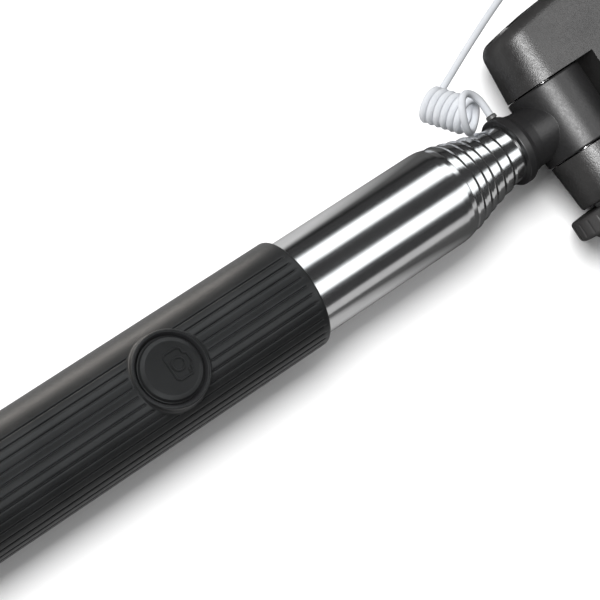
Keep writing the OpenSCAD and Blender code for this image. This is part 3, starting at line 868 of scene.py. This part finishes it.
def clamp_base():
    body = clamp_block()
    bm = bmesh.new()
    add_soft_prism(bm, PLATE, FLOOR_Z + COVER_T, PLATE_TOP, 0.7, soft_low=False)
    plate = finish_mesh("tool", bm)
    bm = bmesh.new()
    add_soft_prism(bm, rect(HINGE_X + BLOCK_U - 3, HINGE_X + BLOCK_U + 2.4, -PLATE_Y, PLATE_Y, 1.2),
                   LIP_LOW, BARREL_R, 0.7)
    lip = finish_mesh("tool", bm)
    boolean(body, [plate, lip], "UNION")
    cuts = [box_tool(HINGE_X - 20, HINGE_X + SLOT_END, -SLOT_HALF, SLOT_HALF, -20, 20),
            box_tool(HINGE_X + 15, HINGE_X + 90, -15.6, 15.6, -14, CAVITY_TOP),
            bar_tool("Y", (HINGE_X, -40, 0), BOLT_R + 0.05, 80),
            bar_tool("Y", (HINGE_X, 21, 0), 6.25, 10, 96),
            bar_tool("Y", (HINGE_X, 16.95, 0), NUT_FLATS / math.sqrt(3), 4.2, 6)]
    boolean(body, cuts)
    return bake(body, 35)


own(clamp_base(), "clamp", "clamp_plastic", CLAMP, "clamp_base")

ear_cap = lathe("Ear_Cap", [(0, 21.2), (6.15, 21.2), (6.15, 21.75, 0.2), (5.2, 21.9, 0.3), (0, 21.95)], "Y",
                (HINGE_X, 0, 0), 96)
own(ear_cap, "clamp", "head_plastic", HEAD, "ear_cap")

SCREWS = [(19, 18.6), (19, -18.6), (76, 18.6), (76, -18.6)]
SCREW_HEAD_R = 2.0
SCREW_R = 1.0


def screw_hole(x, y, depth):
    """A counterbore for the head and a hole for the shank, up from under the floor side."""
    return [bar_tool("Z", (x, y, FLOOR_Z - 1), SCREW_HEAD_R, 1.9, 48),
            bar_tool("Z", (x, y, FLOOR_Z - 1), SCREW_R, depth, 32)]


bm = bmesh.new()
add_soft_prism(bm, PLATE, FLOOR_Z, FLOOR_Z + COVER_T, 0.5)
cover = finish_mesh("Back_Cover", bm)
for u, y in SCREWS:
    boolean(cover, screw_hole(HINGE_X + u, y, 4))
bake(cover, 35)
own(cover, "clamp", "clamp_plastic", KNOB, "back_cover")


def ribbed(name, outline, low, high, place, ribs, width, body, node):
    """A rubber pad with rolled edges and raised ribs across it."""
    bm = bmesh.new()
    add_soft_prism(bm, outline, low, high - 0.25, 0.3, place, 3)
    for a, b in ribs:
        add_soft_prism(bm, rect(a, b, -width, width, 0.3), high - 0.5, high, 0.2, place, 3)
    return own(finish_mesh(name, bm), body, "pad_rubber", PAD, node)


def jaw_ribs(start):
    """The five ribs of a jaw's pad, as the two edges of each."""
    return [(start + 1.2 + 2.2 * i, start + 2.4 + 2.2 * i) for i in range(5)]


PAD_Y = 16
back_ribs = [(HINGE_X + 32 + 3 * i, HINGE_X + 33.6 + 3 * i) for i in range(15)]
ribbed("Back_Pad", rect(HINGE_X + 30, HINGE_X + 76, -PAD_Y, PAD_Y, 2.0), PLATE_TOP, PLATE_TOP + 0.8,
       Matrix.Identity(4), back_ribs, 14.6, "clamp", "back_pad")
z_low, z_high = PLATE_TOP + 1, LIP_LOW
facing = Matrix.Translation((HINGE_X + BLOCK_U, 0, 0)) @ Matrix.Rotation(math.pi / 2, 4, "Y")
ribbed("Lower_Pad", rect(-z_high, -z_low, -PAD_Y, PAD_Y, 0.8), 0, 1.2, facing, jaw_ribs(-z_high), 14.8,
       "clamp", "lower_pad")
facing = Matrix.Translation((HINGE_X + JAW_U, 0, 0)) @ Matrix.Rotation(-math.pi / 2, 4, "Y")
ribbed("Outer_Pad", rect(z_low, z_high, -PAD_Y, PAD_Y, 0.8), 0, 1.2, facing, jaw_ribs(z_low), 14.8,
       "jaw", "outer_pad")

LIP_IN = 0.03   # keeps the lip's sides off the jaw's, so that the join is clean


def outer_jaw():
    bm = bmesh.new()
    x0, x1 = HINGE_X + JAW_U, HINGE_X + JAW_U + JAW_T
    # every corner's radius is above the 1.6 of the rolled rim, or the rim would cross itself
    outline = [(x0, -PLATE_Y, 1.7), (x1 - 3, -PLATE_Y, 3.0), (x1, -PLATE_Y + 8, 6),
               (x1, PLATE_Y - 8, 6), (x1 - 3, PLATE_Y, 3.0), (x0, PLATE_Y, 1.7)]
    add_soft_prism(bm, outline, FLOOR_Z, BARREL_R, 1.6)
    jaw = finish_mesh("Outer_Jaw", bm)
    bm = bmesh.new()
    add_soft_prism(bm, rect(x0 - 2.4, x0 + 3, LIP_IN - PLATE_Y, PLATE_Y - LIP_IN, 1.2),
                   LIP_LOW, BARREL_R - LIP_IN, 0.7)
    boolean(jaw, [finish_mesh("tool", bm)], "UNION")
    slot = FLOOR_Z + COVER_T
    cuts = [box_tool(x0 - 1, x0 + 6, -15.3, 15.3, slot + 0.3, slot + 3.1)]
    for side in (-1, 1):
        cuts += screw_hole(x0 + 3, side * 10, 9)
    boolean(jaw, cuts)
    return bake(jaw, 35)


own(outer_jaw(), "jaw", "clamp_plastic", CLAMP, "outer_jaw")


SPRING_R = 1.05
SPRING_WIRE_R = 0.2
SPRING_TURNS = 30
SPRING_U = 18.4
SPRING_L = 31.4


def springs():
    per_turn = 12
    count = SPRING_TURNS * per_turn
    middle = FLOOR_Z + COVER_T + 1.7
    paths = []
    for side in (-1, 1):
        points = []
        for i in range(count + 1):
            a = TAU * i / per_turn
            x = HINGE_X + SPRING_U + SPRING_L * i / count
            points.append((x, side * 9 + SPRING_R * math.cos(a), middle + SPRING_R * math.sin(a)))
        paths.append(points)
    return wires("Jaw_Springs", paths, SPRING_WIRE_R, 3)


own(springs(), "clamp", "spring_steel", SPRING, "jaw_springs")

# ---- finishes of the CAD pieces that stay ----
KEPT = {"switch_board": BOARD, "snap_dome": SPRING, "switch_lead": LEAD, "inner_cord": PVC, "plug_jack": GOLD,
        "plug_rings": CAP, "hinge_bolt": FASTENER, "knob_washer": FASTENER, "hinge_nut": FASTENER,
        "cover_screws": FASTENER, "spring_posts": FASTENER, "jaw_slide_plate": NYLON, "slide_posts": FASTENER,
        "jaw_screws": FASTENER}
for k in range(2, 8):
    KEPT[f"friction_sleeve_{k}"] = NYLON
for name, material in KEPT.items():
    node = frame["nodes"][name]
    node.data.materials.clear()
    node.data.materials.append(material)

# ---- stage ----
def stage_plane(name, side, z, material):
    bm = bmesh.new()
    bmesh.ops.create_grid(bm, x_segments=1, y_segments=1, size=side / 2)
    bmesh.ops.translate(bm, vec=(150, 0, z), verts=bm.verts)
    obj = finish_mesh(name, bm)
    obj.data.materials.append(material)
    return obj


FLOOR_SIDE = 8000.0
FLOOR_WHITE = 0.9
# painted floor reflection, darkest near the pole as painted contact shade: how bright the floor looks in
# mirrored rays: (place across the pole, grey)
FLOOR_REACH = 400.0
PAINTED_FLOOR_REFLECTION = [(-400.0, 0.56), (-150.0, 0.54), (-72.0, 0.42), (-24.0, 0.40), (-14.0, 0.35), (0.0, 0.28),
                  (14.0, 0.30), (24.0, 0.46), (55.0, 0.54), (95.0, 0.38), (190.0, 0.12), (400.0, 0.04)]
# painted shade near the head: along the pole the mirrored floor falls to this share between the two places
PAINTED_HEAD_SHADE_SPAN = (136, 166)
PAINTED_HEAD_SHADE_SHARE = 0.16


def floor_material():
    """White, with a painted pool of light and painted shade on it, seen only where glossy surfaces mirror it.
    """
    mat, tree, shader = new_material("pale floor")
    shader.inputs["Roughness"].default_value = 0.9
    shader.inputs["Specular IOR Level"].default_value = 0.0
    coords = tree.nodes.new("ShaderNodeTexCoord")
    parts = tree.nodes.new("ShaderNodeSeparateXYZ")
    scale = tree.nodes.new("ShaderNodeMath")
    scale.operation = "MULTIPLY_ADD"
    scale.inputs[1].default_value = 0.5 / (FLOOR_REACH * MM)
    scale.inputs[2].default_value = 0.5
    # painted reflection of the floor, with painted contact shade near the pole, for mirrored rays only
    ramp = tree.nodes.new("ShaderNodeValToRGB")
    stops = ramp.color_ramp.elements
    while len(stops) < len(PAINTED_FLOOR_REFLECTION):
        stops.new(0.5)
    for stop, (y, grey) in zip(stops, PAINTED_FLOOR_REFLECTION):
        stop.position = 0.5 + 0.5 * y / FLOOR_REACH
    for stop, (y, grey) in zip(stops, PAINTED_FLOOR_REFLECTION):
        stop.color = (grey, grey, grey, 1)
    # painted shade near the head, in mirrored rays of the floor
    shade = tree.nodes.new("ShaderNodeMapRange")
    shade.inputs["From Min"].default_value = PAINTED_HEAD_SHADE_SPAN[0] * MM
    shade.inputs["From Max"].default_value = PAINTED_HEAD_SHADE_SPAN[1] * MM
    shade.inputs["To Min"].default_value = 1.0
    shade.inputs["To Max"].default_value = PAINTED_HEAD_SHADE_SHARE
    dim = tree.nodes.new("ShaderNodeVectorMath")
    dim.operation = "SCALE"
    rays = tree.nodes.new("ShaderNodeLightPath")
    mix = tree.nodes.new("ShaderNodeMix")
    mix.data_type = "RGBA"
    mix.inputs["A"].default_value = (FLOOR_WHITE, FLOOR_WHITE, FLOOR_WHITE, 1)
    link = tree.links.new
    link(coords.outputs["Object"], parts.inputs["Vector"])
    link(parts.outputs["Y"], scale.inputs[0])
    link(scale.outputs["Value"], ramp.inputs["Fac"])
    link(parts.outputs["X"], shade.inputs["Value"])
    link(ramp.outputs["Color"], dim.inputs["Vector"])
    link(shade.outputs["Result"], dim.inputs["Scale"])
    link(dim.outputs["Vector"], mix.inputs["B"])
    link(rays.outputs["Is Glossy Ray"], mix.inputs["Factor"])
    link(mix.outputs["Result"], shader.inputs["Base Color"])
    return mat


floor = stage_plane("floor", FLOOR_SIDE, FLOOR_Z - 0.02, floor_material())


def group_of(name, pieces):
    group = bpy.data.collections.new(name)
    for piece in pieces:
        group.objects.link(piece)
    return group


CARD_DISTANCE = 1000
CARD_LENGTH = 3200


def card(name, direction, size, radiance, lights=None, glossy=True, tint=(1, 1, 1), about=(260, 0, 0),
         distance=CARD_DISTANCE):
    """A soft light that faces the point about. Its size is along X and across it, in millimetres."""
    away = Vector(direction).normalized()
    light = bpy.data.lights.new(name, "AREA")
    light.shape = "RECTANGLE"
    light.size, light.size_y = (s * MM for s in size)
    light.energy = radiance * size[0] * size[1] * MM * MM * math.pi
    light.color = tint
    obj = bpy.data.objects.new(name, light)
    bpy.context.scene.collection.objects.link(obj)
    across = away.cross(Vector((1, 0, 0))).normalized()
    along = across.cross(away)
    place = Vector(about) + away * distance
    obj.matrix_world = Matrix.Translation(place * MM) @ Matrix((along, across, away)).transposed().to_4x4()
    obj.visible_camera = False
    obj.visible_glossy = glossy
    if lights is not None:
        obj.light_linking.receiver_collection = group_of(name + " lights", lights)
    return obj


def across_pole(name, azimuth_low, azimuth_high, radiance, **options):
    """A long card parallel to the pole. Azimuths are degrees from straight up, positive towards -Y."""
    mid = math.radians((azimuth_low + azimuth_high) / 2)
    width = 2 * CARD_DISTANCE * math.tan(math.radians(azimuth_high - azimuth_low) / 2)
    return card(name, (0, -math.sin(mid), math.cos(mid)), (CARD_LENGTH, width), radiance, **options)


parts = [o for o in bpy.context.scene.objects if o.type in ("MESH", "CURVE") and o is not floor]
dark_end = [o for o in parts if o.get("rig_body") in ("clamp", "jaw", "knob", "head")
            and not o.name.startswith(("Pole_Tube", "Signal_Cord", "Plug_Boot"))]
bright_end = [o for o in parts if o not in dark_end and o not in (cord, boot)]
pole = [o for o in parts if o.name.startswith("Pole_Tube")]
COOL = (0.95, 0.985, 1.0)
WARM = (1.0, 0.93, 0.86)
CARD_STEP = 4   # cards at one distance hide each other in mirrored rays, so nested ones are set apart
CARD_RADIANCE = 0.66
key = card("key light", (-0.3, 0.42, 0.9), (700, 500), 13.6, glossy=False, about=(120, 0, 0))
casters = [o for o in parts if o not in (cord, boot)]
key.light_linking.blocker_collection = group_of("key light shadows", casters)
card("fill light", (0, 0.1, 1), (2400, 2400), 0.60, lights=[floor], glossy=False, about=(120, 0, 0))
for grow in (-2, 0, 2):
    placed = CARD_DISTANCE + CARD_STEP * grow
    for name, low, high in (("left card", -60, -31), ("right card", 9, 36)):
        across_pole(name, low - grow, high + grow, CARD_RADIANCE, lights=bright_end, tint=COOL,
                    distance=placed)
across_pole("low card", 70, 89, 0.65, lights=pole)
card("band card", (-0.34, 0, 0.94), (520, 500), 33.0, lights=dark_end, about=(190, 0, 0), distance=1200)
card("roof card", (0.5, 0, 0.86), (700, 900), 3.3, lights=dark_end, about=(200, 0, 0), distance=1200)
card("floor glow", (0, 0, -1), (150, 38), 6.5, lights=[bpy.data.objects["Grip_Sleeve"]], tint=WARM,
     about=(52, 68, 0), distance=12.2)


def studio_world():
    """Dim towards the object, and pale where the camera looks past the floor."""
    world = bpy.data.worlds.new("studio")
    world.use_nodes = True
    tree = world.node_tree
    rays = tree.nodes.new("ShaderNodeLightPath")
    mix = tree.nodes.new("ShaderNodeMix")
    mix.data_type = "RGBA"
    mix.inputs["A"].default_value = (0.05, 0.05, 0.051, 1)
    mix.inputs["B"].default_value = (0.94, 0.94, 0.94, 1)
    tree.links.new(rays.outputs["Is Camera Ray"], mix.inputs["Factor"])
    tree.links.new(mix.outputs["Result"], tree.nodes["Background"].inputs["Color"])
    return world


bpy.context.scene.world = studio_world()
bpy.context.scene.view_settings.view_transform = "Standard"
